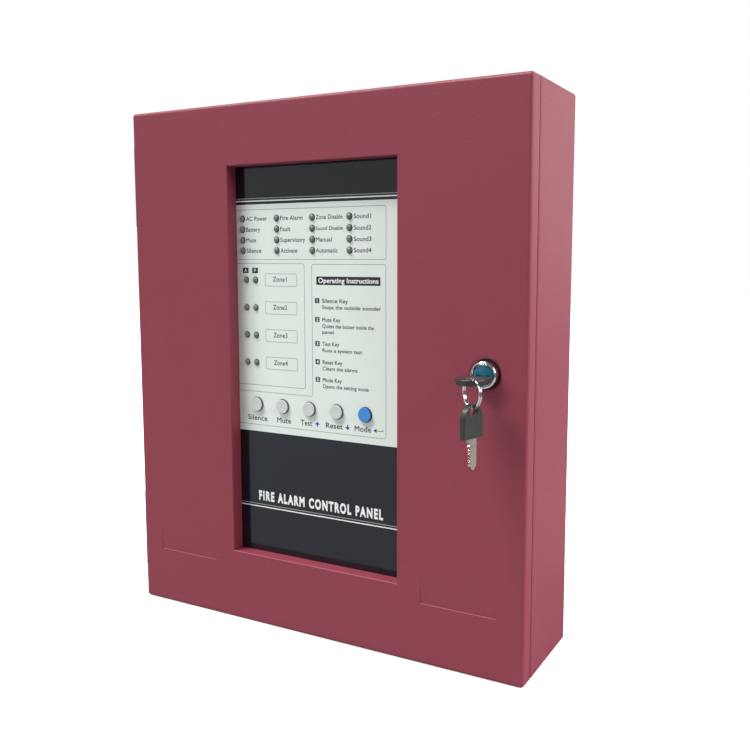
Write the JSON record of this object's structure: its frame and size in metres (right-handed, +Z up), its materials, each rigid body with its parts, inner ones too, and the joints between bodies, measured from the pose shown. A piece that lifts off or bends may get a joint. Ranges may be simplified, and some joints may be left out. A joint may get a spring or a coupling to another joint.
{
  "type": "fire alarm control panel",
  "caption": "Wall-mounted fire alarm control panel: red steel box, hinged key-locked door with a windowed display of zone and status lights and push buttons; electronics and batteries inside.",
  "frame": {"origin": "centre of the flat back face that lies on the wall", "axes": "+Z up, +X to the right as seen from the front, +Y into the wall, so the door faces -Y"},
  "size_m": [0.3253, 0.1261, 0.38],
  "materials": {
    "red_paint": "semi-gloss powder coat",
    "black_sheet": "satin black",
    "label_film": "glossy printed film",
    "zinc": "zinc plated",
    "chrome": "polished",
    "brass": "plain",
    "nickel": "nickel silver, milled",
    "blue_plastic": "glossy",
    "key_plastic": "moulded, slightly worn",
    "button_plastic": "fine matt",
    "mode_plastic": "fine matt",
    "led_plastic": "unlit lens",
    "board": "solder resist",
    "terminal_plastic": "moulded",
    "dark_plastic": "moulded",
    "relay_plastic": "moulded",
    "nylon": "moulded",
    "core_steel": "varnished laminations",
    "coil_tape": "tape",
    "battery_case": "moulded",
    "fuse_glass": "clear tube, metal caps"
  },
  "bodies": {
    "box": {"back_box": "red_paint", "hinge_upper_box_leaf": "red_paint", "hinge_upper_pin": "zinc", "hinge_lower_box_leaf": "red_paint", "hinge_lower_pin": "zinc", "main_board": "board", "main_board_screw_1": "zinc", "main_board_screw_2": "zinc", "main_board_screw_3": "zinc", "main_board_screw_4": "zinc", "zone_terminals": "terminal_plastic", "sounder_terminals": "terminal_plastic", "buzzer": "dark_plastic", "relay_1": "relay_plastic", "relay_2": "relay_plastic", "transformer_core": "core_steel", "transformer_coil": "coil_tape", "mains_terminals": "dark_plastic", "fuse_link": "fuse_glass", "battery_left": "battery_case", "battery_right": "battery_case", "battery_strap": "zinc"},
    "door_leaf": {"door": "red_paint", "hinge_upper_door_leaf": "red_paint", "hinge_lower_door_leaf": "red_paint", "fascia_label": "label_film", "fascia_carrier": "black_sheet", "fascia_nut_1": "zinc", "fascia_nut_2": "zinc", "fascia_nut_3": "zinc", "fascia_nut_4": "zinc", "board_spacer_1": "nylon", "board_spacer_2": "nylon", "board_spacer_3": "nylon", "board_spacer_4": "nylon", "display_board": "board", "status_leds_1": "led_plastic", "status_leds_2": "led_plastic", "status_leds_3": "led_plastic", "status_leds_4": "led_plastic", "zone_leds_1": "led_plastic", "zone_leds_2": "led_plastic", "zone_leds_3": "led_plastic", "zone_leds_4": "led_plastic", "lock_body": "chrome", "lock_nut": "zinc"},
    "lock_core": {"lock_plug": "brass", "lock_insert": "blue_plastic", "lock_cam": "zinc", "cam_screw": "zinc"},
    "key": {"key_head": "key_plastic", "key_blade": "nickel"},
    "key_ring": {"split_ring": "chrome"},
    "spare_key": {"spare_key_head": "key_plastic", "spare_key_blade": "nickel"},
    "button_silence": {"button_silence": "button_plastic"},
    "button_mute": {"button_mute": "button_plastic"},
    "button_test": {"button_test": "button_plastic"},
    "button_reset": {"button_reset": "button_plastic"},
    "button_mode": {"button_mode": "mode_plastic"}
  },
  "joints": [
    {"name": "door_swing", "type": "hinge", "parent": "box", "child": "door_leaf", "pos_m": [-0.1628, -0.072, 0], "axis": [0, 0, -1], "range_deg": [0, 120]},
    {"name": "lock_turn", "type": "hinge", "parent": "door_leaf", "child": "lock_core", "pos_m": [0.132, -0.085, 0.009], "axis": [0, 1, 0], "range_deg": [0, 90]},
    {"name": "key_withdraw", "type": "slide", "parent": "lock_core", "child": "key", "axis": [0, -1, 0], "range_m": [0, 0.03]},
    {"name": "ring_level", "type": "hinge", "parent": "key", "child": "key_ring", "pos_m": [0.13321, -0.11418, 0.0081], "axis": [0, 1, 0], "range_deg": [-90, 0]},
    {"name": "spare_key_swing", "type": "hinge", "parent": "key_ring", "child": "spare_key", "pos_m": [0.13637, -0.11647, -0.00705], "axis": [0.809, -0.5878, 0], "range_deg": [-60, 12]},
    {"name": "press_silence", "type": "slide", "parent": "door_leaf", "child": "button_silence", "axis": [0, 1, 0], "range_m": [0, 0.001], "stiffness_N_per_m": 1500},
    {"name": "press_mute", "type": "slide", "parent": "door_leaf", "child": "button_mute", "axis": [0, 1, 0], "range_m": [0, 0.001], "stiffness_N_per_m": 1500},
    {"name": "press_test", "type": "slide", "parent": "door_leaf", "child": "button_test", "axis": [0, 1, 0], "range_m": [0, 0.001], "stiffness_N_per_m": 1500},
    {"name": "press_reset", "type": "slide", "parent": "door_leaf", "child": "button_reset", "axis": [0, 1, 0], "range_m": [0, 0.001], "stiffness_N_per_m": 1500},
    {"name": "press_mode", "type": "slide", "parent": "door_leaf", "child": "button_mode", "axis": [0, 1, 0], "range_m": [0, 0.001], "stiffness_N_per_m": 1500}
  ],
  "couplings": [
    {"joint": "ring_level", "follows": "lock_turn", "ratio": -1}
  ]
}
